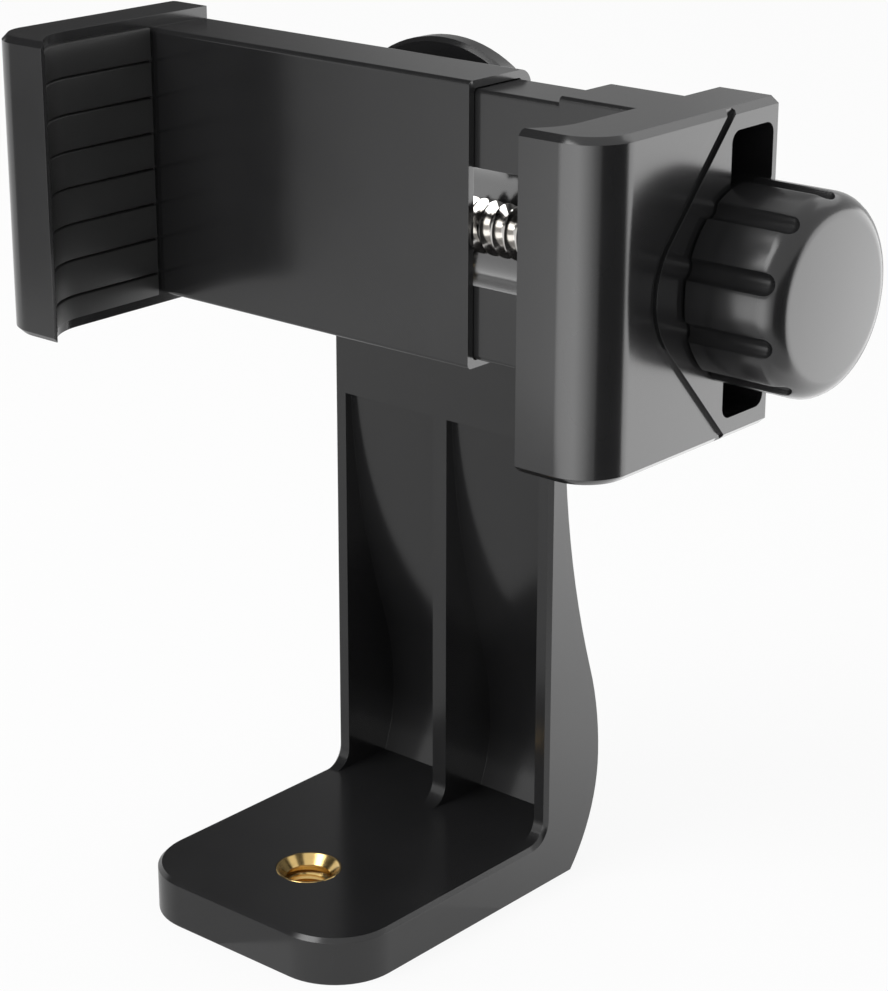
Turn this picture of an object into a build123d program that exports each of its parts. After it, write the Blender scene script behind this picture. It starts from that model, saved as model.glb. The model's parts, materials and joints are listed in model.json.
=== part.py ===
"""Tripod phone mount adapter: a ribbed L bracket that carries a swivelling screw clamp.

Millimetres. X runs along the clamp towards its knob, Y points away from the phone, Z is up.
The origin is the axis of the tripod socket, at the underside of the foot.
"""

import os
from math import sqrt

from build123d import *

os.makedirs("parts", exist_ok=True)

# Driving dimensions of the bracket
bracket_width = 35.6
foot_thickness = 6.0
socket_to_front = 13.5
socket_to_column = 24.7
foot_corner_radius = 8.4
front_edge_chamfer = 0.5
root_radius = 2.7
heel_depth = 6.3
bulge_depth = 11.4
bulge_height = 14.5
back_radius = 40.0
neck_depth = 3.3
neck_height = 64.0
recess_top = 58.3
recess_wall = 2.4
recess_radius = 1.0
side_rib = 2.0
centre_rib = 2.2
swivel_height = 87.7
head_radius = bracket_width / 2
rear_edge_chamfer = 0.9
rear_boss_radius = 8.5
rear_boss_height = 1.7
washer_seat_radius = 6.3
washer_seat_depth = 2.0

# Driving dimensions of the tripod insert, tapped for the quarter inch tripod thread
insert_radius = 4.1
insert_waist = 0.4
insert_bore = 2.6
insert_chamfer = 0.8

# Driving dimensions of the clamp
clamp_height = 88.4
swivel_to_jaw = 32.6
gap_at_rest = 77.1
jaw_height = 36.0
jaw_reach = 20.7
fixed_jaw_thickness = 6.5
moving_jaw_thickness = 7.55
fixed_jaw_lip = 3.7
moving_jaw_lip = 2.8
lip_radius = 7.5
lip_land = 0.5
jaw_corner_radius = 5.4
jaw_rear_step = 0.5
jaw_edge_chamfer = 0.7

# Driving dimensions of the sleeve and the rail that slides in it
sleeve_gap = 5.1
sleeve_depth = 10.9
sleeve_height = 33.15
sleeve_length = 50.5
sleeve_wall = 0.9
sleeve_rear_wall = 1.7
sleeve_end_wall = 1.6
sleeve_edge_radius = 0.6
sleeve_rear_radius = 2.0
rail_clearance = 0.1
rail_engagement = 35.5
rail_edge_radius = 0.6
collar_length = 14.0
channel_height = 13.6
channel_wall = 0.9
channel_radius = 3.6

# Driving dimensions of the swivel
swivel_boss_radius = 14.0
swivel_bolt_radius = 2.5
swivel_head_radius = 4.6
swivel_head_height = 2.6
swivel_nut_flats = 8.0
swivel_nut_thickness = 2.7
friction_inner = 8.0
friction_outer = 11.2
friction_thickness = 1.2
friction_groove = 0.6
washer_radius = 5.5
washer_thickness = 0.8
spring_radius = 4.4
spring_thickness = 1.1
spring_split = 0.8

# Driving dimensions of the clamp screw, its nut and its knob
screw_radius = 3.1
screw_from_front = 4.2
screw_tip_reach = 16.3
nut_length = 8.0
nut_half_width = 5.2
nut_wall = 0.57
nut_chamfer = 1.6
nut_cover = 1.1
nut_recess = 8.5
nut_window = 3.9
clip_radius = 4.1
clip_thickness = 0.9
clip_groove = 0.6
clip_mouth = 3.2
clip_room = 0.6
screw_head_flats = 10.0
screw_head_length = 5.5
knob_radius = 10.95
knob_length = 11.4
knob_gap = 0.2
shoulder_chamfer = 1.3
shoulder_blend = 0.5
knob_wall = 1.6
flute_count = 10
flute_width = 2.4
flute_depth = 1.0
flute_land = 0.1
flute_run_out = 0.95
thrust_radius = 6.6
thrust_thickness = 0.8

# Driving dimensions of the moving jaw's side face and of the pads
window_height = 7.0
window_depth = 7.5
window_setback = 2.0
window_length = 20.4
window_radius = 1.3
crease_width = 1.1
crease_depth = 0.6
crease_top_inset = 8.6
crease_vertex = 7.4
crease_radius = 9.0
pad_margin = 1.3
pad_seat = 0.9
pad_thickness = 1.5
pad_tooth = 4.7
pad_tooth_depth = 0.6
pad_gap = 0.5

# Clearances shared by the pieces that run on or in each other
running_clearance = 0.08
seat_clearance = 0.1
close_gap = 0.3

# Places worked out from the driving dimensions
column_front = socket_to_column
foot_front = -socket_to_front
neck_rear = column_front + neck_depth
sleeve_rear = column_front - sleeve_gap
sleeve_front = sleeve_rear - sleeve_depth
sleeve_start = -swivel_to_jaw
sleeve_end = sleeve_start + sleeve_length
cavity_front = sleeve_front + sleeve_wall
cavity_rear = sleeve_rear - sleeve_rear_wall
cavity_height = sleeve_height - 2 * sleeve_wall
cavity_start = sleeve_start + sleeve_end_wall
rail_front = cavity_front + rail_clearance
rail_rear = cavity_rear - rail_clearance
rail_height = cavity_height - 2 * rail_clearance
jaw_front = sleeve_front - jaw_reach
jaw_rear = sleeve_rear - jaw_rear_step
jaw_bottom = clamp_height - jaw_height / 2
clamp_rise = clamp_height - swivel_height
fixed_face = sleeve_start
moving_face = sleeve_start + gap_at_rest
moving_side = moving_face + moving_jaw_thickness
collar_start = moving_face - collar_length
rail_start = sleeve_end - rail_engagement
screw_y = sleeve_front + screw_from_front
channel_back = rail_rear - channel_wall
boss_face = column_front - seat_clearance - friction_thickness + friction_groove
knob_face = moving_side + knob_gap
knob_end = knob_face + knob_length

# Planes that the sketches lie on: seen from the knob's side, and seen from behind. Both are
# centred on the swivel's height, which the screw shares; the clamp's outside sits a little higher
side_view = Plane(origin=(0, screw_y, swivel_height), x_dir=(0, 1, 0), z_dir=(1, 0, 0))
rear_view = Plane(origin=(0, 0, swivel_height), x_dir=(-1, 0, 0), z_dir=(0, 1, 0))


def side_plane(x):
    """Plane square to X at a place along the clamp, centred on the clamp screw."""
    return side_view.offset(x)


def swivel_plane(y):
    """Plane square to Y at a depth, centred on the swivel axis."""
    return rear_view.offset(y)


def save(piece, name):
    """Label a finished piece and write it to its own file."""
    piece.part.label = name
    export_step(piece.part, f"parts/{name}.step")


# Bracket: foot, ribbed column with its curved back, and round head, moulded in one piece.
# The back is three arcs that run into each other: heel, bulge and neck
heel_radius = (bulge_height**2 + (bulge_depth - heel_depth) ** 2) / (2 * (bulge_depth - heel_depth))
back_run = back_radius - bulge_depth + neck_depth
back_rise = neck_height - bulge_height
neck_radius = (back_run**2 + back_rise**2 - back_radius**2) / (2 * (back_radius - back_run))


def heel_point(inset, height):
    """Point of the heel's arc at a height, at an inset from the back's surface."""
    reach = sqrt((heel_radius - inset) ** 2 - (bulge_height - height) ** 2)
    return (column_front + bulge_depth - heel_radius + reach, height)


def bulge_point(inset):
    """Point where heel and bulge meet, at an inset from the back's surface."""
    return (column_front + bulge_depth - inset, bulge_height)


def bend_point(inset):
    """Point where bulge and neck meet, at an inset from the back's surface."""
    share = (back_radius - inset) / (back_radius + neck_radius)
    depth = bulge_depth - back_radius + share * (back_run + neck_radius)
    return (column_front + depth, bulge_height + share * back_rise)


def neck_point(inset, height):
    """Point of the neck's arc at a height, at an inset from the back's surface."""
    reach = sqrt((neck_radius + inset) ** 2 - (neck_height - height) ** 2)
    return (column_front + neck_depth + neck_radius - reach, height)


with BuildPart() as bracket:
    with BuildSketch(Plane.YZ):
        with BuildLine():
            Polyline(
                neck_point(0, neck_height),
                (neck_rear, swivel_height),
                (column_front, swivel_height),
                (column_front, foot_thickness),
                (foot_front, foot_thickness),
                (foot_front, 0),
                heel_point(0, 0),
            )
            RadiusArc(heel_point(0, 0), bulge_point(0), -heel_radius)
            RadiusArc(bulge_point(0), bend_point(0), -back_radius)
            RadiusArc(bend_point(0), neck_point(0, neck_height), neck_radius)
        make_face()
    extrude(amount=bracket_width / 2, both=True)
    with BuildSketch(swivel_plane(column_front)):
        Circle(head_radius)
    extrude(amount=neck_depth)
    # The rear chamfer runs round the head and on down the column's curved back
    head_rims = bracket.edges().filter_by(GeomType.CIRCLE).sort_by(Axis.Z)[-2:]
    chamfer(head_rims.sort_by(Axis.Y)[-1], rear_edge_chamfer)
    front_corners = bracket.edges().filter_by(Axis.Z).group_by(Axis.Y)[0]
    fillet(front_corners, foot_corner_radius)
    root = (
        bracket.edges()
        .filter_by(Axis.X)
        .filter_by_position(Axis.Z, foot_thickness / 2, 2 * foot_thickness)
        .sort_by(Axis.Y)[-1]
    )
    fillet(root, root_radius)
    # The front chamfer runs round the foot, up the column and round the head
    foot_top = bracket.faces().filter_by(Axis.Z).filter_by_position(
        Axis.Z, foot_thickness / 2, 2 * foot_thickness
    )
    foot_rim = foot_top.edges().sort_by(Axis.Y)[:-1]
    chamfer(foot_rim, front_edge_chamfer)
    with BuildSketch(swivel_plane(neck_rear)):
        Circle(rear_boss_radius)
    extrude(amount=rear_boss_height, taper=5)
    # Two scooped recesses leave the outer ribs and the centre rib
    with BuildSketch(Plane.YZ.offset(centre_rib / 2)):
        with BuildLine():
            Polyline(
                neck_point(recess_wall, recess_top),
                (foot_front, recess_top),
                (foot_front, foot_thickness),
                heel_point(recess_wall, foot_thickness),
            )
            RadiusArc(
                heel_point(recess_wall, foot_thickness),
                bulge_point(recess_wall),
                recess_wall - heel_radius,
            )
            RadiusArc(bulge_point(recess_wall), bend_point(recess_wall), recess_wall - back_radius)
            RadiusArc(
                bend_point(recess_wall),
                neck_point(recess_wall, recess_top),
                neck_radius + recess_wall,
            )
        make_face()
    recess = extrude(amount=bracket_width / 2 - side_rib - centre_rib / 2, mode=Mode.PRIVATE)
    add(recess, mode=Mode.SUBTRACT)
    add(mirror(recess, about=Plane.YZ, mode=Mode.PRIVATE), mode=Mode.SUBTRACT)
    with Locations((0, 0, foot_thickness)):
        Hole(insert_radius)
    # Swivel hole, with a round seat for its washers at the back
    with BuildSketch(swivel_plane(column_front)):
        Circle(swivel_bolt_radius + running_clearance)
    extrude(amount=neck_depth, mode=Mode.SUBTRACT)
    with BuildSketch(swivel_plane(neck_rear + rear_boss_height)):
        Circle(washer_seat_radius)
    extrude(amount=-washer_seat_depth, mode=Mode.SUBTRACT)
save(bracket, "bracket")

# Tripod insert: turned brass bush with a waist that locks it in the foot
with BuildPart() as tripod_insert:
    with BuildSketch(Plane.XZ):
        with BuildLine():
            Polyline(
                (insert_bore, 0),
                (insert_radius, 0),
                (insert_radius, foot_thickness / 3),
                (insert_radius - insert_waist, foot_thickness / 3 + insert_waist),
                (insert_radius - insert_waist, 2 * foot_thickness / 3 - insert_waist),
                (insert_radius, 2 * foot_thickness / 3),
                (insert_radius, foot_thickness),
                (insert_bore + insert_chamfer, foot_thickness),
                (insert_bore, foot_thickness - insert_chamfer),
                close=True,
            )
        make_face()
    revolve(axis=Axis.Z)
save(tripod_insert, "tripod_insert")


def lip_start(lip):
    """Depth at which a lip of a given height starts to curve out of the gripping face."""
    return jaw_front + lip_land + sqrt(lip_radius**2 - (lip_radius - lip) ** 2)


def jaw_outline(face, side, lip):
    """Plan of a jaw: straight gripping face, curled lip at the front, square outer corner."""
    inward = 1 if side < face else -1
    tip = face + inward * lip
    with BuildSketch(Plane.XY.offset(jaw_bottom)) as plan:
        with BuildLine():
            Polyline(
                (tip, jaw_front + lip_land),
                (tip, jaw_front),
                (side, jaw_front),
                (side, jaw_rear),
                (face, jaw_rear),
                (face, lip_start(lip)),
            )
            RadiusArc(
                (face, lip_start(lip)),
                (tip, jaw_front + lip_land),
                -inward * lip_radius,
            )
        make_face()
    return plan.sketch


def round_jaw(jaw, face):
    """Round the jaw's outer front corner and break its edges, but for those at the pad."""
    upright = jaw.edges().filter_by(Axis.Z)
    outer_corner = upright.group_by(Axis.Y)[0].sort_by(lambda edge: abs(edge.center().X))[-1]
    fillet(outer_corner, jaw_corner_radius)
    rear_corners = jaw.edges().filter_by(Axis.Z).group_by(Axis.Y)[-1]
    chamfer(rear_corners, jaw_edge_chamfer)
    rims = jaw.faces().filter_by(Axis.Z).edges()
    outside = abs(face) + lip_land
    chamfer(rims.filter_by(lambda edge: abs(edge.center().X) > outside), jaw_edge_chamfer)


def sleeve_section(start):
    """Outer section that sleeve and collar share, with its long edges rounded."""
    with BuildSketch(side_plane(start)) as section:
        with Locations((sleeve_rear - screw_y - sleeve_depth / 2, clamp_rise)):
            Rectangle(sleeve_depth, sleeve_height)
        fillet(section.vertices().group_by(Axis.X)[0], sleeve_edge_radius)
        fillet(section.vertices().group_by(Axis.X)[-1], sleeve_rear_radius)
    return section.sketch


def pad_pocket(face, inward, lip):
    """Shallow recess in a jaw's gripping face that seats its rubber pad."""
    middle = (pad_rear + lip_start(lip)) / 2
    with Locations((face - inward * pad_seat / 2, middle, clamp_height)):
        Box(pad_seat, pad_rear - lip_start(lip), pad_height, mode=Mode.SUBTRACT)


pad_rear = sleeve_front - pad_gap
pad_height = jaw_height - 2 * pad_margin

# Clamp body: fixed jaw, hollow sleeve, nut housing and swivel boss, moulded in one piece
housing_end = sleeve_end - nut_recess
nut_start = housing_end - nut_cover - nut_length
housing_start = nut_start - nut_cover
housing_rear = channel_back - close_gap
housing_half = channel_height / 2 - close_gap

with BuildPart() as clamp_body:
    fixed_plan = jaw_outline(fixed_face, fixed_face - fixed_jaw_thickness, fixed_jaw_lip)
    extrude(fixed_plan, amount=jaw_height)
    round_jaw(clamp_body, fixed_face)
    pad_pocket(fixed_face, 1, fixed_jaw_lip)
    overlap = fixed_jaw_thickness / 2
    extrude(sleeve_section(fixed_face - overlap), amount=sleeve_length + overlap)
    with BuildSketch(swivel_plane(sleeve_rear)):
        Circle(swivel_boss_radius)
    extrude(amount=boss_face - sleeve_rear)
    # Hollow that the rail slides in, open at the sleeve's end
    with BuildSketch(side_plane(cavity_start)):
        with Locations(((cavity_front + cavity_rear) / 2 - screw_y, clamp_rise)):
            RectangleRounded(cavity_rear - cavity_front, cavity_height, rail_edge_radius)
    extrude(amount=sleeve_end - cavity_start, mode=Mode.SUBTRACT)
    # Housing on the sleeve's front wall, standing in the rail's channel
    with BuildSketch(side_plane(housing_start)):
        with Locations(((cavity_front + housing_rear) / 2 - screw_y, clamp_rise)):
            housing = Rectangle(housing_rear - cavity_front, 2 * housing_half)
        fillet(housing.vertices().group_by(Axis.X)[-1], channel_radius)
    extrude(amount=housing_end - housing_start)
    # Nut pocket, let into the front wall and open at the back
    with BuildSketch(side_plane(nut_start)):
        with Locations((0, 0)):
            Rectangle(2 * (screw_radius + running_clearance + nut_wall), 2 * nut_half_width)
        with Locations((channel_back / 2 - screw_y / 2, 0)):
            Rectangle(channel_back - screw_y, 2 * nut_half_width)
    extrude(amount=nut_length, mode=Mode.SUBTRACT)
    # The screw passes the housing's inner wall; its mouth leaves the nut's face open
    with BuildSketch(side_plane(housing_start)):
        Circle(screw_radius + close_gap)
    extrude(amount=nut_cover, mode=Mode.SUBTRACT)
    with BuildSketch(side_plane(housing_end)):
        with Locations(((cavity_front + channel_back) / 2 - screw_y, 0)):
            Rectangle(channel_back - cavity_front, 2 * nut_window)
    extrude(amount=-nut_cover, mode=Mode.SUBTRACT)
    # Swivel hole, hex seat for its nut, and groove for the friction ring
    with BuildSketch(swivel_plane(cavity_rear)):
        RegularPolygon(swivel_nut_flats / 2, 6, major_radius=False)
    extrude(amount=swivel_nut_thickness, mode=Mode.SUBTRACT)
    with BuildSketch(swivel_plane(cavity_rear)):
        Circle(swivel_bolt_radius)
    extrude(amount=boss_face - cavity_rear, mode=Mode.SUBTRACT)
    with BuildSketch(swivel_plane(boss_face)):
        Circle(friction_outer)
        Circle(friction_inner, mode=Mode.SUBTRACT)
    extrude(amount=-friction_groove, mode=Mode.SUBTRACT)
save(clamp_body, "clamp_body")

# Moving jaw: block, collar and channelled rail, moulded in one piece
window_centre = rail_height / 2 - window_height / 2
groove_run = (jaw_rear - crease_top_inset) - screw_y

with BuildPart() as moving_jaw:
    moving_plan = jaw_outline(moving_face, moving_side, moving_jaw_lip)
    extrude(moving_plan, amount=jaw_height)
    round_jaw(moving_jaw, moving_face)
    pad_pocket(moving_face, -1, moving_jaw_lip)
    extrude(sleeve_section(collar_start), amount=collar_length + moving_jaw_thickness / 2)
    with BuildSketch(side_plane(rail_start)):
        with Locations(((rail_front + rail_rear) / 2 - screw_y, clamp_rise)):
            RectangleRounded(rail_rear - rail_front, rail_height, rail_edge_radius)
    extrude(amount=collar_start - rail_start)
    # Channel along the front of rail and collar, for the screw and its nut
    with BuildSketch(side_plane(rail_start)):
        with Locations(((sleeve_front + channel_back) / 2 - screw_y, clamp_rise)):
            channel = Rectangle(channel_back - sleeve_front, channel_height)
        fillet(channel.vertices().group_by(Axis.X)[-1], channel_radius)
    extrude(amount=moving_face - rail_start, mode=Mode.SUBTRACT)
    # Room for the clip and its washer, and the bore that carries the screw
    clip_room_length = clip_thickness + thrust_thickness + 2 * clip_room
    with BuildSketch(side_plane(moving_face)):
        Circle(clip_radius + clip_room)
    extrude(amount=-clip_room_length, mode=Mode.SUBTRACT)
    with BuildSketch(side_plane(moving_face)):
        Circle(screw_radius + running_clearance)
    extrude(amount=moving_jaw_thickness, mode=Mode.SUBTRACT)
    # Two cored windows beside the knob, above and below the screw's boss
    with BuildSketch(side_plane(moving_side)):
        windows = [(window_setback / 2, clamp_rise + side * window_centre) for side in (1, -1)]
        with Locations(*windows):
            RectangleRounded(window_depth, window_height, window_radius)
    extrude(amount=-window_length, mode=Mode.SUBTRACT)
    # Bent crease across the side face
    with BuildSketch(side_plane(moving_side)):
        with BuildLine():
            crease = FilletPolyline(
                (groove_run, clamp_rise + jaw_height / 2),
                (groove_run - crease_vertex - crease_radius, clamp_rise),
                (groove_run, clamp_rise - jaw_height / 2),
                radius=crease_radius,
            )
        trace(line_width=crease_width)
    extrude(amount=-crease_depth, mode=Mode.SUBTRACT)
save(moving_jaw, "moving_jaw")


def toothed_pad(face, inward, lip):
    """Rubber pad with saw teeth that run across the grip, set into the jaw's recess."""
    back = face - inward * pad_seat
    front = back + inward * pad_thickness
    teeth = int(pad_height // pad_tooth)
    bottom = clamp_height - pad_height / 2
    points = [(back, bottom), (front, bottom)]
    for tooth in range(1, teeth + 1):
        crest = bottom + tooth * pad_tooth
        points.append((front, crest - pad_tooth_depth))
        points.append((front - inward * pad_tooth_depth, crest))
    points.append((front, bottom + pad_height))
    points.append((back, bottom + pad_height))
    with BuildSketch(Plane.XZ.offset(-pad_rear)) as profile:
        with BuildLine():
            Polyline(*points, close=True)
        make_face()
    extrude(profile.sketch, amount=pad_rear - lip_start(lip))


# Rubber pads of the two jaws
with BuildPart() as fixed_jaw_pad:
    toothed_pad(fixed_face, 1, fixed_jaw_lip)
save(fixed_jaw_pad, "fixed_jaw_pad")

with BuildPart() as moving_jaw_pad:
    toothed_pad(moving_face, -1, moving_jaw_lip)
save(moving_jaw_pad, "moving_jaw_pad")

# Swivel screw: pan head behind the bracket, shank through the head into the clamp body's nut
washer_floor = neck_rear + rear_boss_height - washer_seat_depth
washer_face = washer_floor + seat_clearance
spring_face = washer_face + washer_thickness
head_face = spring_face + spring_thickness
shank_tip = cavity_rear + seat_clearance
cross_width = 0.9
cross_length = 4.6
cross_depth = 1.4
dome_height = 1.2

with BuildPart() as swivel_screw:
    with BuildSketch(swivel_plane(shank_tip)):
        Circle(swivel_bolt_radius)
    extrude(amount=head_face - shank_tip)
    with BuildSketch(swivel_plane(head_face)):
        Circle(swivel_head_radius)
    extrude(amount=swivel_head_height)
    chamfer(swivel_screw.edges().group_by(Axis.Y)[-1], dome_height)
    with BuildSketch(swivel_plane(head_face + swivel_head_height)):
        Rectangle(cross_length, cross_width)
        Rectangle(cross_width, cross_length)
    extrude(amount=-cross_depth, mode=Mode.SUBTRACT)
save(swivel_screw, "swivel_screw")

# Flat washer under the spring washer, in the bracket's round seat
with BuildPart() as swivel_washer:
    with BuildSketch(swivel_plane(washer_face)):
        Circle(washer_radius)
        Circle(swivel_bolt_radius, mode=Mode.SUBTRACT)
    extrude(amount=washer_thickness)
save(swivel_washer, "swivel_washer")

# Split spring washer that keeps the swivel under load
with BuildPart() as spring_washer:
    with BuildSketch(swivel_plane(spring_face)):
        Circle(spring_radius)
        Circle(swivel_bolt_radius, mode=Mode.SUBTRACT)
        with Locations((spring_radius / 2, 0)):
            Rectangle(spring_radius, spring_split, mode=Mode.SUBTRACT)
    extrude(amount=spring_thickness)
save(spring_washer, "spring_washer")

# Hex nut of the swivel, held in the clamp body
with BuildPart() as swivel_nut:
    with BuildSketch(swivel_plane(cavity_rear)):
        RegularPolygon(swivel_nut_flats / 2, 6, major_radius=False)
        Circle(swivel_bolt_radius, mode=Mode.SUBTRACT)
    extrude(amount=swivel_nut_thickness)
save(swivel_nut, "swivel_nut")

# Friction ring between the clamp body's boss and the bracket's head
with BuildPart() as friction_ring:
    with BuildSketch(swivel_plane(boss_face - friction_groove)):
        Circle(friction_outer)
        Circle(friction_inner, mode=Mode.SUBTRACT)
    extrude(amount=friction_thickness)
save(friction_ring, "friction_ring")

# Brass nut of the clamp screw, dropped into its housing from behind
nut_half_depth = screw_radius + running_clearance + nut_wall

with BuildPart() as clamp_nut:
    with BuildSketch(side_plane(nut_start)):
        block = Rectangle(2 * nut_half_depth, 2 * nut_half_width)
        chamfer(block.vertices().group_by(Axis.X)[-1], nut_chamfer)
        Circle(screw_radius + running_clearance, mode=Mode.SUBTRACT)
    extrude(amount=nut_length)
save(clamp_nut, "clamp_nut")

# Clamp screw: hex head in the knob, plain journal with a clip groove, and the thread's shank
washer_end = moving_face - seat_clearance
clip_end = washer_end - thrust_thickness
screw_tip = nut_start - screw_tip_reach
head_start = moving_side + seat_clearance + thrust_thickness
head_end = head_start + screw_head_length
tip_chamfer = 0.6

with BuildPart() as clamp_screw:
    with BuildSketch(side_plane(screw_tip)):
        Circle(screw_radius)
    extrude(amount=head_start - screw_tip)
    chamfer(clamp_screw.edges().group_by(Axis.X)[0], tip_chamfer)
    with BuildSketch(side_plane(head_start)):
        RegularPolygon(screw_head_flats / 2, 6, major_radius=False)
    extrude(amount=screw_head_length)
    with BuildSketch(side_plane(clip_end)):
        Circle(screw_radius)
        Circle(screw_radius - clip_groove, mode=Mode.SUBTRACT)
    extrude(amount=-clip_thickness, mode=Mode.SUBTRACT)
save(clamp_screw, "clamp_screw")

# Retaining clip in the screw's groove, and the steel washer that it bears on
with BuildPart() as retaining_clip:
    with BuildSketch(side_plane(clip_end)):
        Circle(clip_radius)
        Circle(screw_radius - clip_groove, mode=Mode.SUBTRACT)
        with Locations((-clip_radius, 0)):
            Rectangle(2 * clip_radius, clip_mouth, mode=Mode.SUBTRACT)
    extrude(amount=-clip_thickness)
save(retaining_clip, "retaining_clip")

with BuildPart() as clip_washer:
    with BuildSketch(side_plane(clip_end)):
        Circle(clip_radius)
        Circle(screw_radius, mode=Mode.SUBTRACT)
    extrude(amount=thrust_thickness)
save(clip_washer, "clip_washer")

# Thrust washer between the screw's head and the moving jaw's side face
with BuildPart() as thrust_washer:
    with BuildSketch(side_plane(head_start)):
        Circle(thrust_radius)
        Circle(screw_radius, mode=Mode.SUBTRACT)
    extrude(amount=-thrust_thickness)
save(thrust_washer, "thrust_washer")

# Knob: fluted grip with a rounded shoulder, hollowed for the screw's head and the washer
flute_length = knob_length - shoulder_chamfer - shoulder_blend - flute_land
flute_radius = ((flute_width / 2) ** 2 + flute_depth**2) / (2 * flute_depth)

with BuildPart() as clamp_knob:
    with BuildSketch(side_plane(knob_face)):
        Circle(knob_radius)
    extrude(amount=knob_length)
    chamfer(clamp_knob.edges().group_by(Axis.X)[-1], shoulder_chamfer)
    shoulder_rims = clamp_knob.edges().filter_by(GeomType.CIRCLE).sort_by(Axis.X)[-2:]
    chamfer(shoulder_rims, shoulder_blend)
    with BuildSketch(side_plane(knob_face)):
        with PolarLocations(knob_radius + flute_radius - flute_depth, flute_count,
                            start_angle=180 / flute_count):
            Circle(flute_radius)
    extrude(amount=flute_length - flute_radius, mode=Mode.SUBTRACT)
    flute_ends = side_plane(knob_face + flute_length - flute_radius)
    with BuildSketch(flute_ends):
        with PolarLocations(knob_radius + flute_radius - flute_depth, flute_count,
                            start_angle=180 / flute_count):
            Circle(flute_radius)
    extrude(amount=flute_run_out * flute_radius, taper=45, mode=Mode.SUBTRACT)
    with BuildSketch(side_plane(knob_face)):
        Circle(thrust_radius + close_gap)
    extrude(amount=head_start - knob_face, mode=Mode.SUBTRACT)
    with BuildSketch(side_plane(head_start)):
        RegularPolygon(screw_head_flats / 2, 6, major_radius=False)
    extrude(amount=screw_head_length, mode=Mode.SUBTRACT)
save(clamp_knob, "clamp_knob")
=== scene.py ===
# %% [markdown]
# # A tripod phone mount adapter
#
# This lesson dresses a small phone clamp that swivels on a ribbed bracket. The CAD model already holds the
# true shapes and sizes, so the scene starts from it and never moves it. Blender adds what the CAD leaves
# plain: threads, rubber ribs, rounded mould edges, the finishes, and the studio around them.

# %% Load the CAD model as the fixed frame
import json
import math

import bpy
from mathutils import Matrix, Vector


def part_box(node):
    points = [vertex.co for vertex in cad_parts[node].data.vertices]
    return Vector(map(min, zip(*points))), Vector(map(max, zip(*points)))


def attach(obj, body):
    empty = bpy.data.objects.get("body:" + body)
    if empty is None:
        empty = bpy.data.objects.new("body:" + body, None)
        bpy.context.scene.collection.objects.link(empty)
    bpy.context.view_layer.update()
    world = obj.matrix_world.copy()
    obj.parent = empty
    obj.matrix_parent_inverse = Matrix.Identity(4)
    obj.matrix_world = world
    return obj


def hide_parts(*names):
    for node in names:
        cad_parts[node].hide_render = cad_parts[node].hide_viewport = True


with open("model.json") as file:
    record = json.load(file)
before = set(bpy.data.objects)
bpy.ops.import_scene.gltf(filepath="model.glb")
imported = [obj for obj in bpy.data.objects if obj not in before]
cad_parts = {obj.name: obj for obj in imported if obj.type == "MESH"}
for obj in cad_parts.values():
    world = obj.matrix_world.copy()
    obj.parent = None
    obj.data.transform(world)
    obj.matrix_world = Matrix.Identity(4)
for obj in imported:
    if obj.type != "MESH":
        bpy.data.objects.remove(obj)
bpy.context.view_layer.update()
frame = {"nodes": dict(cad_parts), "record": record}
nodes = frame["nodes"]
MM = 0.001
print("CAD nodes:", ", ".join(sorted(nodes)))

# %% [markdown]
# ## The camera
#
# The camera stands to the right of the object's front, a little above it, with a long lens that keeps the
# upright edges nearly parallel. It is panned, tilted and rolled by three small turns in a row, as on a
# tripod head, because that reads more easily than three mixed angles.

# %% Place the camera
CAMERA_PLACE = (208.96 * MM, -218.7 * MM, 163.3 * MM)
CAMERA_PAN = math.radians(40.546)
CAMERA_TILT = math.radians(90 - 19.746)
CAMERA_ROLL = math.radians(0.132)
CAMERA_LENS = 99.09
NEAREST_SEEN = 10 * MM

bpy.ops.object.select_all(action="DESELECT")
bpy.ops.object.camera_add(location=CAMERA_PLACE)
camera = bpy.context.object
camera.name = "camera"
camera.rotation_euler = (
    Matrix.Rotation(CAMERA_PAN, 3, "Z")
    @ Matrix.Rotation(CAMERA_TILT, 3, "X")
    @ Matrix.Rotation(CAMERA_ROLL, 3, "Z")
).to_euler()
camera.data.lens = CAMERA_LENS
camera.data.clip_start = NEAREST_SEEN
bpy.context.scene.camera = camera
print("camera at", [round(v / MM, 1) for v in camera.location])

# %% [markdown]
# ## The studio
#
# A product shot of a black part is mostly a picture of what the part mirrors. So the room is plain and
# white, and a few cards stand around the part as on a photographer's table. The floor and the sky are white
# where the camera or a mirror looks at them, and give soft light elsewhere. The floor keeps a trace of
# ordinary matt white, so that the part still drops a shadow.

# %% Helpers for node materials
def new_material(name):
    """An empty node material and its node tree, with an output node."""
    material = bpy.data.materials.new(name)
    material.use_nodes = True
    tree = material.node_tree
    tree.nodes.clear()
    output = tree.nodes.new("ShaderNodeOutputMaterial")
    return material, tree, output


def seen_or_mirrored(tree):
    """A factor that is 1 for rays from the camera, a mirror or clear glass, and 0 for soft light."""
    path = tree.nodes.new("ShaderNodeLightPath")
    either = tree.nodes.new("ShaderNodeMath")
    either.operation = "MAXIMUM"
    tree.links.new(path.outputs["Is Camera Ray"], either.inputs[0])
    tree.links.new(path.outputs["Is Glossy Ray"], either.inputs[1])
    any_of_three = tree.nodes.new("ShaderNodeMath")
    any_of_three.operation = "MAXIMUM"
    tree.links.new(either.outputs[0], any_of_three.inputs[0])
    tree.links.new(path.outputs["Is Transmission Ray"], any_of_three.inputs[1])
    return any_of_three.outputs[0]


print("helpers ready")

# %% The floor, white to the eye with a soft shadow
FLOOR_SIZE = 4.0
FLOOR_DROP = 0.05 * MM
FLOOR_GLOW = 0.9
FLOOR_WHITE = 0.85

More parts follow.
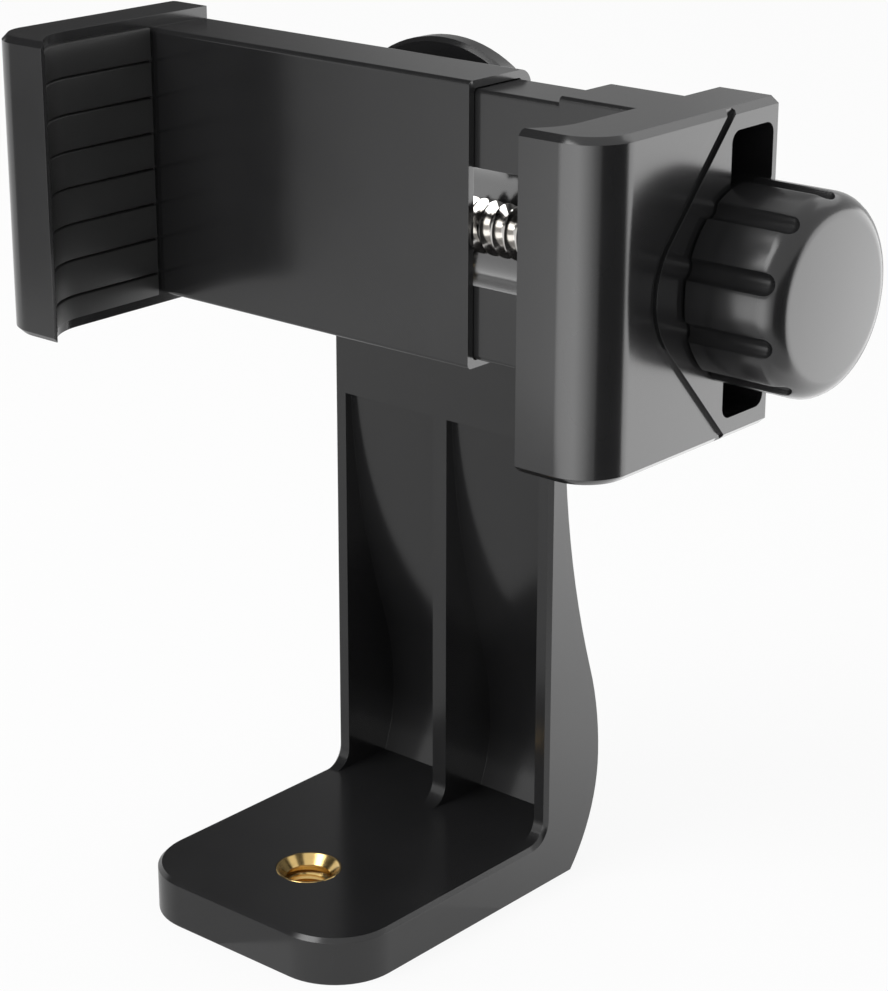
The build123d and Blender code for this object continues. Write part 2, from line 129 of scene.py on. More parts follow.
floor_material, tree, output = new_material("studio_floor")
matt = tree.nodes.new("ShaderNodeBsdfDiffuse")
matt.inputs["Color"].default_value = (FLOOR_WHITE, FLOOR_WHITE, FLOOR_WHITE, 1)
glow = tree.nodes.new("ShaderNodeEmission")
glow.inputs["Strength"].default_value = 1.0
share = tree.nodes.new("ShaderNodeMath")
share.operation = "MULTIPLY"
share.inputs[1].default_value = FLOOR_GLOW
tree.links.new(seen_or_mirrored(tree), share.inputs[0])
mix = tree.nodes.new("ShaderNodeMixShader")
tree.links.new(share.outputs[0], mix.inputs["Fac"])
tree.links.new(matt.outputs[0], mix.inputs[1])
tree.links.new(glow.outputs[0], mix.inputs[2])
tree.links.new(mix.outputs[0], output.inputs["Surface"])

bpy.ops.object.select_all(action="DESELECT")
bpy.ops.mesh.primitive_plane_add(size=FLOOR_SIZE, location=(0, 0, -FLOOR_DROP))
floor = bpy.context.object
floor.name = "studio_floor"
floor.data.materials.append(floor_material)
print("floor", FLOOR_SIZE, "m wide")

# %% The sky, white behind the part and softer as a light
SKY_LIGHT = 0.7

world = bpy.data.worlds.new("studio_sky")
bpy.context.scene.world = world
world.use_nodes = True
tree = world.node_tree
background = tree.nodes["Background"]
background.inputs["Color"].default_value = (1, 1, 1, 1)
strength = tree.nodes.new("ShaderNodeMapRange")
strength.inputs["To Min"].default_value = SKY_LIGHT
strength.inputs["To Max"].default_value = 1.0
tree.links.new(seen_or_mirrored(tree), strength.inputs["Value"])
tree.links.new(strength.outputs["Result"], background.inputs["Strength"])
bpy.context.scene.view_settings.view_transform = "Standard"
print("sky light", SKY_LIGHT)

# %% One large soft lamp, high on the left of the camera
LAMP_PLACE = Vector((-0.25, -0.55, 0.75))
LAMP_AIM = Vector((0, 10 * MM, 60 * MM))
LAMP_WIDTH = 0.5
LAMP_POWER = 4.0

bpy.ops.object.select_all(action="DESELECT")
bpy.ops.object.light_add(type="AREA", location=LAMP_PLACE)
lamp = bpy.context.object
lamp.name = "soft_lamp"
lamp.rotation_euler = (LAMP_AIM - LAMP_PLACE).to_track_quat("-Z", "Y").to_euler()
lamp.data.shape = "SQUARE"
lamp.data.size = LAMP_WIDTH
lamp.data.energy = LAMP_POWER
print("lamp of", LAMP_POWER, "W")

# %% [markdown]
# ### Cards that the glossy plastic mirrors
#
# Each card stands square to the line that a mirror would send the eye along. Only glossy rays see it, so it
# neither lights the floor nor throws a shadow. Its glow changes from one side to the other, as on a white
# card that is lit from one end, and it is given as a few (place, brightness) stops.

# %% A material for cards
def card_glow(name, stops):
    """Light whose brightness follows (place, brightness) stops along the card, from 0 to 1."""
    material, tree, output = new_material(name)
    peak = max(brightness for _, brightness in stops)
    where = tree.nodes.new("ShaderNodeTexCoord")
    split = tree.nodes.new("ShaderNodeSeparateXYZ")
    tree.links.new(where.outputs["Object"], split.inputs[0])
    along = tree.nodes.new("ShaderNodeMath")
    along.operation = "ADD"
    along.inputs[1].default_value = 0.5
    tree.links.new(split.outputs["X"], along.inputs[0])
    ramp = tree.nodes.new("ShaderNodeValToRGB")
    while len(ramp.color_ramp.elements) < len(stops):
        ramp.color_ramp.elements.new(1.0)
    for element, (place, brightness) in zip(ramp.color_ramp.elements, stops):
        element.position = place
        element.color = (brightness / peak,) * 3 + (1,)
    tree.links.new(along.outputs[0], ramp.inputs["Fac"])
    glow = tree.nodes.new("ShaderNodeEmission")
    glow.inputs["Strength"].default_value = peak
    tree.links.new(ramp.outputs["Color"], glow.inputs["Color"])
    tree.links.new(glow.outputs[0], output.inputs["Surface"])
    return material


def only_mirrored(card, name, stops):
    """Name a card, give it its glow, and let only glossy rays see it."""
    card.name = name
    card.data.materials.append(card_glow(name, stops))
    card.visible_camera = False
    card.visible_diffuse = False
    card.visible_shadow = False
    card.visible_transmission = False


print("card material ready")

# %% Upright cards, placed by compass angle and height angle as the part sees them
CLAMP_CENTRE = Vector((30 * MM, 10 * MM, 85 * MM))


def upright_card(name, azimuth, elevation, distance, width, height, stops):
    """A card that faces the clamp; its stops run from left to right as the part sees it."""
    around, up = math.radians(azimuth), math.radians(elevation)
    way = Vector((math.cos(around) * math.cos(up), math.sin(around) * math.cos(up), math.sin(up)))
    bpy.ops.object.select_all(action="DESELECT")
    bpy.ops.mesh.primitive_plane_add(size=1, location=CLAMP_CENTRE + way * distance)
    card = bpy.context.object
    card.scale = (width, height, 1)
    card.rotation_euler = (-way).to_track_quat("Z", "Y").to_euler()
    only_mirrored(card, name, stops)


DARK = [(0.0, 0.05), (1.0, 0.05)]
BRIGHT = [(0.0, 3.9), (1.0, 3.9)]
FRONT_STOPS = [(0.0, 0.3), (0.2, 1.5), (0.46, 4.7), (0.76, 3.9), (0.83, 1.6), (1.0, 1.0)]
BACK_STOPS = [
    (0.0, 0.05), (0.5, 0.08), (0.57, 0.2), (0.62, 0.32), (0.67, 0.4), (0.77, 0.4), (1.0, 0.9)
]
UPRIGHT_CARDS = [
    # name, compass angle, height angle, distance, width, height, stops
    ("front_card", 280, -15, 0.2, 0.5, 0.15, FRONT_STOPS),
    ("right_dark_card", 356, -15, 0.19, 0.2, 0.2, DARK),
    ("right_back_card", 55, -18, 0.2, 0.2, 0.2, BRIGHT),
    ("left_card", 212, -13, 0.35, 0.14, 0.12, [(0.0, 0.45), (0.5, 0.38), (1.0, 0.3)]),
    ("back_dark_card", 140, 22, 0.6, 0.6, 0.5, BACK_STOPS),
    ("left_dark_card", 188, 38, 0.6, 0.8, 0.5, DARK),
    ("right_high_card", 78, 40, 0.6, 0.4, 0.3, [(0.0, 2.6), (1.0, 2.2)]),
]
for facts in UPRIGHT_CARDS:
    upright_card(*facts)
print(len(UPRIGHT_CARDS), "upright cards")

# %% Cards that lie on the floor, where the bracket mirrors the table
def table_card(name, start, azimuth, length, width, stops):
    """A card on the floor, running from a start point along a compass angle."""
    around = math.radians(azimuth)
    middle = Vector(start) + Vector((math.cos(around), math.sin(around), 0)) * length / 2
    bpy.ops.object.select_all(action="DESELECT")
    bpy.ops.mesh.primitive_plane_add(size=1, location=middle, rotation=(0, 0, around))
    card = bpy.context.object
    card.scale = (length, width, 1)
    only_mirrored(card, name, stops)


TABLE_STOPS = [(0.0, 1.1), (0.17, 1.9), (0.33, 2.4), (0.5, 2.9), (1.0, 3.9)]
TABLE_CARDS = [
    # name, start point, compass angle, length, width, stops
    ("right_table_card", (19 * MM, 15 * MM, 0.1 * MM), 52, 0.3, 0.16, TABLE_STOPS),
    ("left_table_card", (0, -16 * MM, 0.1 * MM), 225, 0.2, 0.3, [(0.0, 0.6), (1.0, 0.9)]),
]
for facts in TABLE_CARDS:
    table_card(*facts)
print(len(TABLE_CARDS), "table cards")

# %% [markdown]
# The last two cards are no bigger than a fingernail. One stands slantwise in the clamp's channel, across
# the sleeve's mouth, and one lies flat below the screw. That slot is too deep for a large card to reach, so
# without them the wall behind the screw would stay black.

# %% Two tiny cards inside the screw's channel
TINY_CARDS = [
    # name, width and height in mm, place in mm, turns about x, y and z in degrees, brightness
    ("channel_card", (14, 5.6), (14.6, 14.6, 92), (90, 0, 160), 3.9),
    ("under_screw_card", (20, 2.4), (22, 15.8, 84.2), (0, 0, 0), 3.0),
]

for name, size, place, turns, brightness in TINY_CARDS:
    bpy.ops.object.select_all(action="DESELECT")
    bpy.ops.mesh.primitive_plane_add(
        size=1,
        location=[v * MM for v in place],
        rotation=[math.radians(turn) for turn in turns],
    )
    card = bpy.context.object
    card.scale = (size[0] * MM, size[1] * MM, 1)
    only_mirrored(card, name, [(0.0, brightness), (1.0, brightness)])
    print(name, size, "mm")

# %% [markdown]
# ## The finishes
#
# Every finish is one Principled shader whose roughness, tone and fine relief vary with the place on the
# piece. The pattern reads Object coordinates, so it stays put when the clamp turns, and its scale is set in
# real millimetres.

# %% A helper that builds a finish
TONE_SPREAD = 0.15
CLOUD_TO_GRAIN = 30
SURFACE_IOR = 1.5


def finish(name, colour, metallic, roughness, grain_mm, relief_mm, stretch):
    """A Principled material with noise on its tone, its roughness (low, high) and its relief."""
    material, tree, output = new_material(name)
    shader = tree.nodes.new("ShaderNodeBsdfPrincipled")
    shader.inputs["Metallic"].default_value = metallic
    shader.inputs["IOR"].default_value = SURFACE_IOR
    where = tree.nodes.new("ShaderNodeTexCoord")
    mapping = tree.nodes.new("ShaderNodeMapping")
    mapping.inputs["Scale"].default_value = stretch
    tree.links.new(where.outputs["Object"], mapping.inputs["Vector"])
    cloud = tree.nodes.new("ShaderNodeTexNoise")
    cloud.inputs["Scale"].default_value = 1 / (CLOUD_TO_GRAIN * grain_mm * MM)
    cloud.inputs["Detail"].default_value = 3
    tree.links.new(mapping.outputs[0], cloud.inputs["Vector"])
    tint = tree.nodes.new("ShaderNodeMix")
    tint.data_type = "RGBA"
    tint.inputs["A"].default_value = tuple(c * (1 - TONE_SPREAD) for c in colour) + (1,)
    tint.inputs["B"].default_value = tuple(c * (1 + TONE_SPREAD) for c in colour) + (1,)
    tree.links.new(cloud.outputs["Fac"], tint.inputs["Factor"])
    tree.links.new(tint.outputs["Result"], shader.inputs["Base Color"])
    sheen = tree.nodes.new("ShaderNodeMapRange")
    sheen.inputs["To Min"].default_value = roughness[0]
    sheen.inputs["To Max"].default_value = roughness[1]
    tree.links.new(cloud.outputs["Fac"], sheen.inputs["Value"])
    tree.links.new(sheen.outputs["Result"], shader.inputs["Roughness"])
    grain = tree.nodes.new("ShaderNodeTexNoise")
    grain.inputs["Scale"].default_value = 1 / (grain_mm * MM)
    grain.inputs["Detail"].default_value = 2
    tree.links.new(mapping.outputs[0], grain.inputs["Vector"])
    bump = tree.nodes.new("ShaderNodeBump")
    bump.inputs["Strength"].default_value = 1.0
    bump.inputs["Distance"].default_value = relief_mm * MM
    tree.links.new(grain.outputs["Fac"], bump.inputs["Height"])
    tree.links.new(bump.outputs[0], shader.inputs["Normal"])
    tree.links.new(shader.outputs[0], output.inputs["Surface"])
    return material


print("finish helper ready")

# %% The six finishes of this part
BLACK = (0.014, 0.014, 0.0145)
EVEN = (1, 1, 1)
FINISH_FACTS = {
    # slot: name, colour, metallic, roughness, grain in mm, relief in mm, stretch of the pattern
    "black_plastic": ("black_moulded_plastic", BLACK, 0.0, (0.15, 0.21), 0.25, 0.0015, EVEN),
    "knob_plastic": ("knob_plastic", BLACK, 0.0, (0.18, 0.24), 0.25, 0.0015, EVEN),
    "black_rubber": ("black_rubber", (0.012, 0.012, 0.012), 0.0, (0.4, 0.5), 0.2, 0.004, EVEN),
    "brass": ("turned_brass", (0.64, 0.45, 0.18), 1.0, (0.12, 0.22), 0.15, 0.002, (1, 1, 6)),
    "bright_steel": ("plated_steel", (0.52, 0.505, 0.485), 1.0, (0.1, 0.2), 0.2, 0.002, (6, 1, 1)),
    "dark_steel": ("spring_steel", (0.3, 0.3, 0.31), 1.0, (0.3, 0.4), 0.2, 0.002, EVEN),
}
FINISHES = {slot: finish(*facts) for slot, facts in FINISH_FACTS.items()}
for part in frame["record"]["subparts"]:
    node = nodes[part["node"]]
    node.data.materials.clear()
    node.data.materials.append(FINISHES[part["material_slot"]])
print("finishes:", ", ".join(sorted(FINISHES)))

# %% [markdown]
# ## Rounded mould edges
#
# A moulded or plated edge is never knife sharp: it has a tiny round that catches a line of light. The CAD
# solids only have their larger rounds, so modifiers add the small ones. Weld joins the loose triangles,
# Decimate merges the flat ones into whole faces, Bevel rounds what is still sharp, and Weighted Normal
# keeps the flat faces flat in the shading. The CAD mesh itself stays as it is.

# %% Round the sharp edges of the CAD pieces
MERGE_DISTANCE = 0.001 * MM
FLAT_ANGLE = 0.5
SHARP_ANGLE = 24
EDGE_ROUNDS = {
    "bracket": 0.3 * MM,
    "clamp_body": 0.22 * MM,
    "moving_jaw": 0.22 * MM,
    "clamp_nut": 0.1 * MM,
    "swivel_screw": 0.15 * MM,
    "swivel_nut": 0.12 * MM,
    "swivel_washer": 0.1 * MM,
    "spring_washer": 0.1 * MM,
    "friction_ring": 0.1 * MM,
    "thrust_washer": 0.1 * MM,
    "clip_washer": 0.1 * MM,
    "retaining_clip": 0.1 * MM,
}


def add_bevel(piece, name, width, degrees, miter="MITER_ARC"):
    """A Bevel modifier that rounds the edges sharper than an angle."""
    bevel = piece.modifiers.new(name, "BEVEL")
    bevel.width = width
    bevel.segments = 2
    bevel.limit_method = "ANGLE"
    bevel.angle_limit = math.radians(degrees)
    bevel.miter_outer = miter


def round_edges(piece, radius):
    """Modifiers that turn loose CAD triangles into whole faces with small round edges."""
    weld = piece.modifiers.new("join_triangles", "WELD")
    weld.merge_threshold = MERGE_DISTANCE
    flatten = piece.modifiers.new("whole_faces", "DECIMATE")
    flatten.decimate_type = "DISSOLVE"
    flatten.angle_limit = math.radians(FLAT_ANGLE)
    add_bevel(piece, "edge_round", radius, SHARP_ANGLE)
    normals = piece.modifiers.new("flat_faces_stay_flat", "WEIGHTED_NORMAL")
    normals.keep_sharp = False


for name, radius in EDGE_ROUNDS.items():
    round_edges(nodes[name], radius)
print("edges rounded on", len(EDGE_ROUNDS), "pieces")

# %% [markdown]
# ## Tools for modelling by hand
#
# The next pieces are made as one would by hand: draw an outline, then extrude, spin or wind it. Such a
# command works on whatever is selected, so each helper first deselects everything. Points are picked by
# their place, because that holds when a size changes, and a list of point numbers would not.

# %% Helpers for edit mode
def start_edit(piece, select="VERT"):
    """Edit one piece alone, with nothing selected."""
    bpy.ops.object.select_all(action="DESELECT")
    piece.select_set(True)
    bpy.context.view_layer.objects.active = piece
    bpy.ops.object.mode_set(mode="EDIT")
    bpy.ops.mesh.select_mode(type=select)
    bpy.ops.mesh.select_all(action="DESELECT")


def pick(piece, test, kind="verts"):
    """Select the vertices whose place, or the faces whose centre, passes a test."""
    bpy.ops.object.mode_set(mode="OBJECT")
    mesh = piece.data
    for group in (mesh.vertices, mesh.edges, mesh.polygons):
        group.foreach_set("select", [False] * len(group))
    if kind == "verts":
        chosen = [v for v in mesh.vertices if test(v.co)]
    else:
        chosen = [f for f in mesh.polygons if test(f.center)]
    for item in chosen:
        item.select = True
    bpy.ops.object.mode_set(mode="EDIT")


def end_edit(piece, name):
    """Leave edit mode, settle the piece's place into its mesh, and name both."""
    bpy.ops.object.mode_set(mode="OBJECT")
    bpy.ops.object.select_all(action="DESELECT")
    piece.select_set(True)
    bpy.context.view_layer.objects.active = piece
    bpy.ops.object.transform_apply(location=True, rotation=True, scale=True)
    piece.name = name
    piece.data.name = name


print("edit mode helpers ready")

# %% Helpers that finish a mesh
def apply_all(piece):
    """Apply every modifier of a piece, in order."""
    bpy.ops.object.select_all(action="DESELECT")
    piece.select_set(True)
    bpy.context.view_layer.objects.active = piece
    for modifier in list(piece.modifiers):
        bpy.ops.object.modifier_apply(modifier=modifier.name)


def join(pieces, name):
    """Join finished meshes into one piece."""
    bpy.ops.object.select_all(action="DESELECT")
    for piece in pieces:
        piece.select_set(True)
    bpy.context.view_layer.objects.active = pieces[0]
    bpy.ops.object.join()
    pieces[0].name = name
    pieces[0].data.name = name
    return pieces[0]


def outward(piece):
    """Merge doubled points and turn every face outwards."""
    start_edit(piece)
    bpy.ops.mesh.select_all(action="SELECT")
    bpy.ops.mesh.remove_doubles(threshold=MERGE_DISTANCE)
    bpy.ops.mesh.normals_make_consistent(inside=False)
    bpy.ops.object.mode_set(mode="OBJECT")


def smooth(piece, degrees):
    """Smooth shading, with edges sharper than an angle left crisp."""
    bpy.ops.object.select_all(action="DESELECT")
    piece.select_set(True)
    bpy.context.view_layer.objects.active = piece
    bpy.ops.object.shade_smooth_by_angle(angle=math.radians(degrees))


print("finishing helpers ready")

# %% Helpers that draw and turn an outline
def draw(points):
    """A chain of edges drawn by extruding one point along the others, left in edit mode."""
    bpy.ops.object.select_all(action="DESELECT")
    bpy.ops.mesh.primitive_plane_add(size=MM)
    piece = bpy.context.object
    start_edit(piece)
    bpy.ops.mesh.select_all(action="SELECT")
    bpy.ops.mesh.merge(type="CENTER")
    here = Vector(points[0])
    bpy.ops.transform.translate(value=here)
    for point in points[1:]:
        step = Vector(point) - here
        bpy.ops.mesh.extrude_region_move(TRANSFORM_OT_translate={"value": step})
        here = Vector(point)
    bpy.ops.mesh.select_all(action="SELECT")
    return piece


def lathe(name, outline, axis_at, around="X", sides=96):
    """A turned piece: an outline of (along, radius) points, spun round its axis."""
    if around == "X":
        piece = draw([(along, 0, radius) for along, radius in outline])
    else:
        piece = draw([(radius, 0, along) for along, radius in outline])
    axis = (1, 0, 0) if around == "X" else (0, 0, 1)
    bpy.ops.mesh.spin(steps=sides, angle=2 * math.pi, center=(0, 0, 0), axis=axis)
    bpy.ops.object.mode_set(mode="OBJECT")
    piece.location = axis_at
    end_edit(piece, name)
    outward(piece)
    return piece


print("drawing helpers ready")

# %% [markdown]
# ## The clamp screw
#
# The real screw is a rolled steel thread that runs along the channel, with a plain neck in the jaw's wall
# and a hex head in the knob. A turned blank could carry a bump pattern for its thread, but close up that
# has no outline. So one tooth section is drawn and the Screw modifier winds it along the shank.

# %% Turn the screw's blank: shank, clip groove, neck and tip
screw_low, screw_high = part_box("clamp_screw")
knob_low, knob_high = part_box("clamp_knob")
clip_low, clip_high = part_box("retaining_clip")
thrust_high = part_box("thrust_washer")[1]
axis_y = (knob_low.y + knob_high.y) / 2
axis_z = (screw_low.z + screw_high.z) / 2
THREAD_RADIUS = 3.1 * MM
THREAD_ROOT = 2.2 * MM
CLIP_GROOVE_RADIUS = 2.5 * MM
THREAD_PITCH = 1.75 * MM
TIP_CHAMFER = 0.8 * MM
thread_end = clip_low.x - THREAD_PITCH

blank = lathe(
    "screw_blank",
    [
        (screw_low.x, 0),
        (screw_low.x, THREAD_ROOT - TIP_CHAMFER),
        (screw_low.x + TIP_CHAMFER, THREAD_ROOT),
        (thread_end, THREAD_ROOT),
        (thread_end + THREAD_RADIUS - THREAD_ROOT, THREAD_RADIUS),
        (clip_low.x, THREAD_RADIUS),
        (clip_low.x, CLIP_GROOVE_RADIUS),
        (clip_high.x, CLIP_GROOVE_RADIUS),
        (clip_high.x, THREAD_RADIUS),
        (thrust_high.x, THREAD_RADIUS),
        (thrust_high.x, 0),
    ],
    (0, axis_y, axis_z),
)
print("blank", len(blank.data.polygons), "faces")

# %% Wind the thread along the shank
THREAD_CREST = 0.12
THREAD_FOOT = 0.78
THREAD_SINK = 0.02 * MM
THREAD_STEPS = 48
turns = int((thread_end - screw_low.x) / THREAD_PITCH) - 1

bpy.ops.object.select_all(action="DESELECT")
bpy.ops.mesh.primitive_plane_add(size=1)
thread = bpy.context.object
start_edit(thread)
bpy.ops.mesh.select_all(action="SELECT")
bpy.ops.transform.rotate(value=math.pi / 2, orient_axis="X", center_override=(0, 0, 0))
bpy.ops.transform.resize(value=(THREAD_FOOT * THREAD_PITCH, 1, THREAD_RADIUS - THREAD_ROOT))
pick(thread, lambda co: co.z > 0)
bpy.ops.transform.resize(
    value=(THREAD_CREST / THREAD_FOOT, 1, 1), center_override=(0, 0, 0)
)
bpy.ops.mesh.select_all(action="SELECT")
bpy.ops.transform.translate(value=(0, 0, (THREAD_RADIUS + THREAD_ROOT) / 2 - THREAD_SINK))
bpy.ops.object.mode_set(mode="OBJECT")
wind = thread.modifiers.new("wind", "SCREW")
wind.axis = "X"
wind.screw_offset = THREAD_PITCH
wind.iterations = turns
wind.steps = THREAD_STEPS
wind.render_steps = THREAD_STEPS
apply_all(thread)
thread.location = (screw_low.x + THREAD_PITCH / 2, axis_y, axis_z)
end_edit(thread, "screw_thread")
outward(thread)
print("thread of", turns, "turns,", len(thread.data.polygons), "faces")

# %% Add the hex head, and join the screw
HEAD_FLATS = 10.0 * MM
HEAD_EDGE = 0.3 * MM
SCREW_SMOOTH_ANGLE = 40

bpy.ops.object.select_all(action="DESELECT")
bpy.ops.mesh.primitive_cylinder_add(
    vertices=6,
    radius=HEAD_FLATS / math.sqrt(3),
    depth=screw_high.x - thrust_high.x,
    location=((screw_high.x + thrust_high.x) / 2, axis_y, axis_z),
    rotation=(math.pi / 2, 0, math.pi / 2),
)
head = bpy.context.object
end_edit(head, "screw_head")
start_edit(head, "EDGE")
bpy.ops.mesh.select_all(action="SELECT")
bpy.ops.mesh.bevel(offset=HEAD_EDGE, segments=2)
bpy.ops.object.mode_set(mode="OBJECT")

clamp_screw = join([blank, thread, head], "threaded_clamp_screw")
smooth(clamp_screw, SCREW_SMOOTH_ANGLE)
clamp_screw.data.materials.clear()
clamp_screw.data.materials.append(FINISHES["bright_steel"])
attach(clamp_screw, "knob")
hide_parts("clamp_screw")
print("clamp screw", len(clamp_screw.data.polygons), "faces")

# %% [markdown]
# ## The ribbed rubber pads
#
# A soft pad lines each jaw from the sleeve out over the curled lip, with shallow ribs that have a fine dark
# groove between them. A bump pattern would do from afar, but the grooves show on the lip's curve. So the
# rib section is drawn once as an outline, pulled along the flat of the jaw, and then spun over the lip. The
# spin's arc is a little wider than the lip's, so the pad thins out until it is flush with the lip's edge.

# %% Helpers for the pads
PAD_SEAT = 0.9 * MM
LIP_RADIUS = 7.5 * MM
LIP_SKIN = 0.15 * MM
LIP_STEPS = 7
LIP_END_GAP = 0.08 * MM
RIB_PITCH = 4.42 * MM
FIRST_RIB = 4.05 * MM
GROOVE_WIDTH = 0.34 * MM
GROOVE_DEPTH = 0.5 * MM
RIB_HOLLOW = 0.07 * MM
PAD_EDGE = 0.1 * MM
PAD_SHARP_ANGLE = 35
PAD_SMOOTH_ANGLE = 30
NEAR = 0.01 * MM


def rib_outline(back, front, bottom, top, inward):
    """Outline of a pad seen from its end: flat back, ribbed front with fine grooves."""
    points = [(back, bottom), (front, bottom)]
    groove = top - FIRST_RIB
    while groove - RIB_PITCH > bottom:
        groove -= RIB_PITCH
    while groove < top:
        points.append((front, groove - GROOVE_WIDTH / 2))
        points.append((front - inward * GROOVE_DEPTH, groove))
        points.append((front, groove + GROOVE_WIDTH / 2))
        middle = groove + RIB_PITCH / 2
        if middle < top:
            points.append((front - inward * RIB_HOLLOW, middle))
        groove += RIB_PITCH
    points.append((front, top))
    points.append((back, top))
    return points


print("grooves every", round(RIB_PITCH / MM, 2), "mm")

# %% Draw, pull and spin each pad
def ribbed_pad(name, node, inward, lip):
    """A ribbed pad that lines a jaw's flat and the hollow side of its lip."""
    low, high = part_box(node)
    back, front = (low.x, high.x) if inward > 0 else (high.x, low.x)
    face = back + inward * PAD_SEAT
    outline = rib_outline(back, front, low.z, high.z, inward)
    pad = draw([(x, high.y, z) for x, z in outline])
    bpy.ops.mesh.edge_face_add()
    bpy.ops.mesh.extrude_region_move(
        TRANSFORM_OT_translate={"value": (0, low.y - high.y, 0)}
    )
    skin = face - inward * LIP_SKIN
    pick(pad, lambda co: co.y < low.y + NEAR and abs(co.x - back) < NEAR)
    bpy.ops.transform.translate(value=(skin - back, 0, 0))
    bpy.ops.mesh.select_mode(type="FACE")
    pick(pad, lambda centre: centre.y < low.y + NEAR, "faces")
    run = math.sqrt(LIP_RADIUS**2 - (LIP_RADIUS - lip) ** 2)
    rise = lip - abs(front - face)
    radius = (run**2 + rise**2) / (2 * rise)
    bpy.ops.mesh.spin(
        steps=LIP_STEPS,
        angle=-inward * math.asin(run / radius),
        center=(front + inward * radius, low.y, 0),
        axis=(0, 0, 1),
    )
    bpy.ops.transform.resize(
        value=(1, 0, 1), center_override=(0, low.y - run + LIP_END_GAP, 0)
    )
    end_edit(pad, name)
    outward(pad)
    add_bevel(pad, "soft_edges", PAD_EDGE, PAD_SHARP_ANGLE, "MITER_SHARP")
    apply_all(pad)
    smooth(pad, PAD_SMOOTH_ANGLE)
    pad.data.materials.clear()
    pad.data.materials.append(FINISHES["black_rubber"])
    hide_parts(node)
    return pad


FIXED_LIP = 3.7 * MM
MOVING_LIP = 2.8 * MM
fixed_pad = ribbed_pad("fixed_jaw_ribs", "fixed_jaw_pad", 1, FIXED_LIP)
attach(fixed_pad, "clamp")
moving_pad = ribbed_pad("moving_jaw_ribs", "moving_jaw_pad", -1, MOVING_LIP)
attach(moving_pad, "jaw")
for pad in (fixed_pad, moving_pad):
    print(pad.name, [round(side / MM, 2) for side in pad.dimensions], "mm")

# %% [markdown]
# ## The tripod bush
#
# A turned brass bush sits in the foot, with a wide countersink and a coarse tapped thread. The bush is a
# lathe outline, and the thread is a slim ridge wound up the inside of its bore with the Screw modifier, so
# the countersink ends on real turns of thread.

# %% Turn the bush and wind its thread
bush_low, bush_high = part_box("tripod_insert")
BUSH_RADIUS = 4.1 * MM
BUSH_BORE = 3.2 * MM
BUSH_CREST = 2.65 * MM
COUNTERSINK_RADIUS = 3.8 * MM
COUNTERSINK_DEPTH = 1.1 * MM
BUSH_PITCH = 1.27 * MM
KNIFE_EDGE = 0.1 * MM
RIDGE_FOOT = 0.42
RIDGE_CREST = 0.07
RIDGE_STEPS = 64
BUSH_SMOOTH_ANGLE = 35

sink_foot = bush_high.z - COUNTERSINK_DEPTH
bush = lathe(
    "bush_body",
    [
        (bush_low.z, BUSH_BORE),
        (bush_low.z, BUSH_RADIUS),
        (bush_high.z - KNIFE_EDGE, BUSH_RADIUS),
        (bush_high.z, BUSH_RADIUS - KNIFE_EDGE),
        (bush_high.z, COUNTERSINK_RADIUS),
        (sink_foot, BUSH_CREST + KNIFE_EDGE),
        (sink_foot - KNIFE_EDGE, BUSH_CREST + KNIFE_EDGE),
        (sink_foot - BUSH_PITCH / 3, BUSH_BORE),
        (bush_low.z, BUSH_BORE),
    ],
    (0, 0, 0),
    around="Z",
)
half_foot = RIDGE_FOOT * BUSH_PITCH
half_crest = RIDGE_CREST * BUSH_PITCH
ridge = draw([
    (BUSH_BORE + KNIFE_EDGE, 0, -half_foot),
    (BUSH_CREST, 0, -half_crest),
    (BUSH_CREST, 0, half_crest),
    (BUSH_BORE + KNIFE_EDGE, 0, half_foot),
])
bpy.ops.mesh.edge_face_add()
bpy.ops.object.mode_set(mode="OBJECT")
rise = ridge.modifiers.new("rise", "SCREW")
rise.axis = "Z"
rise.screw_offset = BUSH_PITCH
rise.iterations = int((sink_foot - bush_low.z) / BUSH_PITCH)
rise.steps = RIDGE_STEPS
rise.render_steps = RIDGE_STEPS
apply_all(ridge)
ridge.location = (0, 0, bush_low.z + half_foot)
end_edit(ridge, "bush_thread")
outward(ridge)
tripod_bush = join([bush, ridge], "tapped_tripod_bush")
smooth(tripod_bush, BUSH_SMOOTH_ANGLE)
tripod_bush.data.materials.clear()
tripod_bush.data.materials.append(FINISHES["brass"])
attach(tripod_bush, "bracket")
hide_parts("tripod_insert")
print("bush", len(tripod_bush.data.polygons), "faces")

# %% [markdown]
# ## The knob
#
# The knob is a moulded grip with a wide round shoulder and ten flutes that end in a ball shape, as a round
# cutter leaves them. The body is turned from an outline. One cutter, a round bar with a ball end, is copied
# round the axis, and Boolean takes all the copies out of the body at once, which gives the true edge where
# a flute meets the rim.

# %% Turn the knob's body
KNOB_SHOULDER = 2.5 * MM
SHOULDER_STEPS = 8
KNOB_RIM = 0.3 * MM
THRUST_ROOM = 6.9 * MM
KNOB_SIDES = 144
knob_radius = (knob_high.y - knob_low.y) / 2


def quarter_turn(steps):
    """The angles that cut a quarter turn into equal steps."""
    return [step / steps * math.pi / 2 for step in range(steps + 1)]


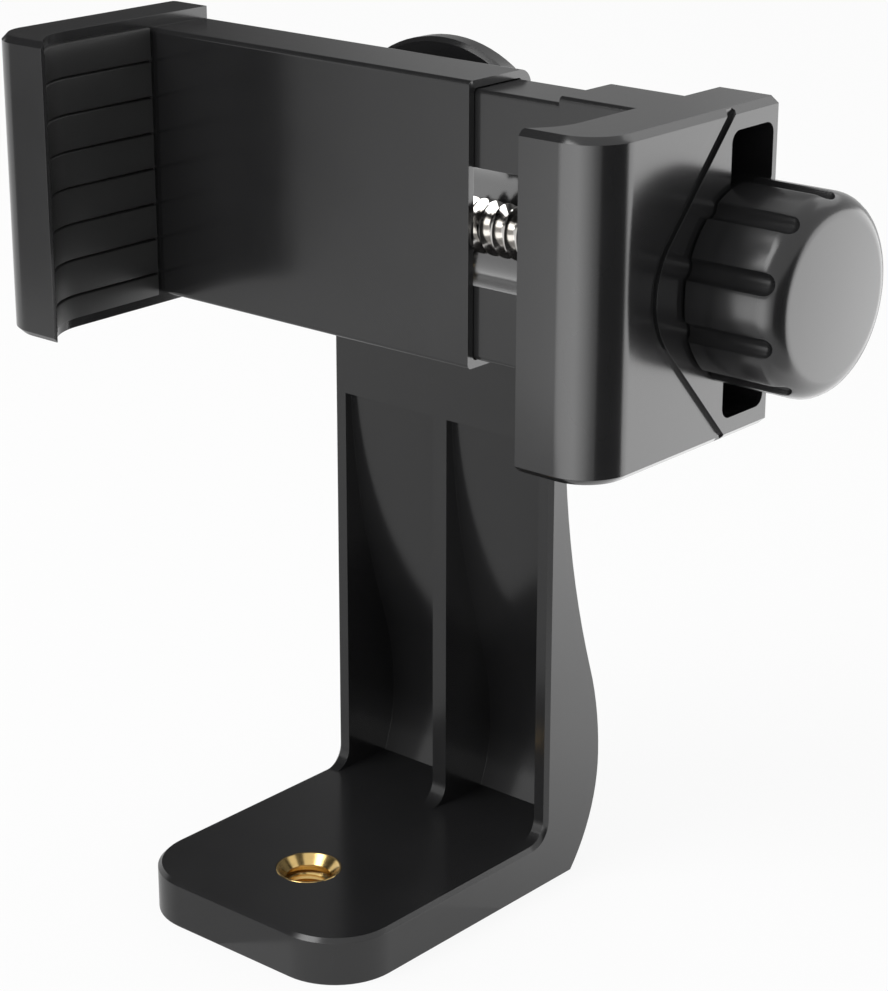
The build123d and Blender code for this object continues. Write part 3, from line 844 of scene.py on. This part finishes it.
shoulder = [
    (
        knob_high.x - KNOB_SHOULDER * (1 - math.sin(angle)),
        knob_radius - KNOB_SHOULDER * (1 - math.cos(angle)),
    )
    for angle in quarter_turn(SHOULDER_STEPS)
]
knob = lathe(
    "fluted_knob",
    [
        (thrust_high.x, 0),
        (thrust_high.x, THRUST_ROOM),
        (knob_low.x, THRUST_ROOM),
        (knob_low.x, knob_radius - KNOB_RIM),
        (knob_low.x + KNOB_RIM, knob_radius),
    ]
    + shoulder
    + [(knob_high.x, 0)],
    (0, axis_y, axis_z),
    sides=KNOB_SIDES,
)
print("knob body", len(knob.data.polygons), "faces")

# %% Cut the flutes
FLUTE_COUNT = 10
FLUTE_RADIUS = 1.25 * MM
FLUTE_DEPTH = 1.0 * MM
FLUTE_END = 0.6 * MM
FIRST_FLUTE = math.radians(90)
FLUTE_EDGE = 0.18 * MM
FLUTE_SHARP_ANGLE = 28
KNOB_SMOOTH_ANGLE = 30
CUTTER_SIDES = 32
BALL_STEPS = 8
flute_axis = knob_radius + FLUTE_RADIUS - FLUTE_DEPTH
flute_stop = knob_high.x - FLUTE_END

ball = [
    (flute_stop - FLUTE_RADIUS * (1 - math.sin(angle)), FLUTE_RADIUS * math.cos(angle))
    for angle in quarter_turn(BALL_STEPS)
]
bar = [(knob_low.x - MM, 0), (knob_low.x - MM, FLUTE_RADIUS)]
cutters = [lathe("flute_cutter", bar + ball, (0, 0, 0), sides=CUTTER_SIDES)]
while len(cutters) < FLUTE_COUNT:
    cutter = cutters[0].copy()
    cutter.data = cutters[0].data.copy()
    bpy.context.collection.objects.link(cutter)
    cutters.append(cutter)
for number, cutter in enumerate(cutters):
    turn = FIRST_FLUTE + number * 2 * math.pi / FLUTE_COUNT
    cutter.location = (
        0, axis_y + flute_axis * math.cos(turn), axis_z + flute_axis * math.sin(turn)
    )
cutter = join(cutters, "flute_cutters")
cut = knob.modifiers.new("flutes", "BOOLEAN")
cut.operation = "DIFFERENCE"
cut.solver = "EXACT"
cut.object = cutter
apply_all(knob)
bpy.data.objects.remove(cutter)
add_bevel(knob, "flute_edges", FLUTE_EDGE, FLUTE_SHARP_ANGLE)
apply_all(knob)
smooth(knob, KNOB_SMOOTH_ANGLE)
knob.data.materials.clear()
knob.data.materials.append(FINISHES["knob_plastic"])
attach(knob, "knob")
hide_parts("clamp_knob")
print("knob", len(knob.data.polygons), "faces")
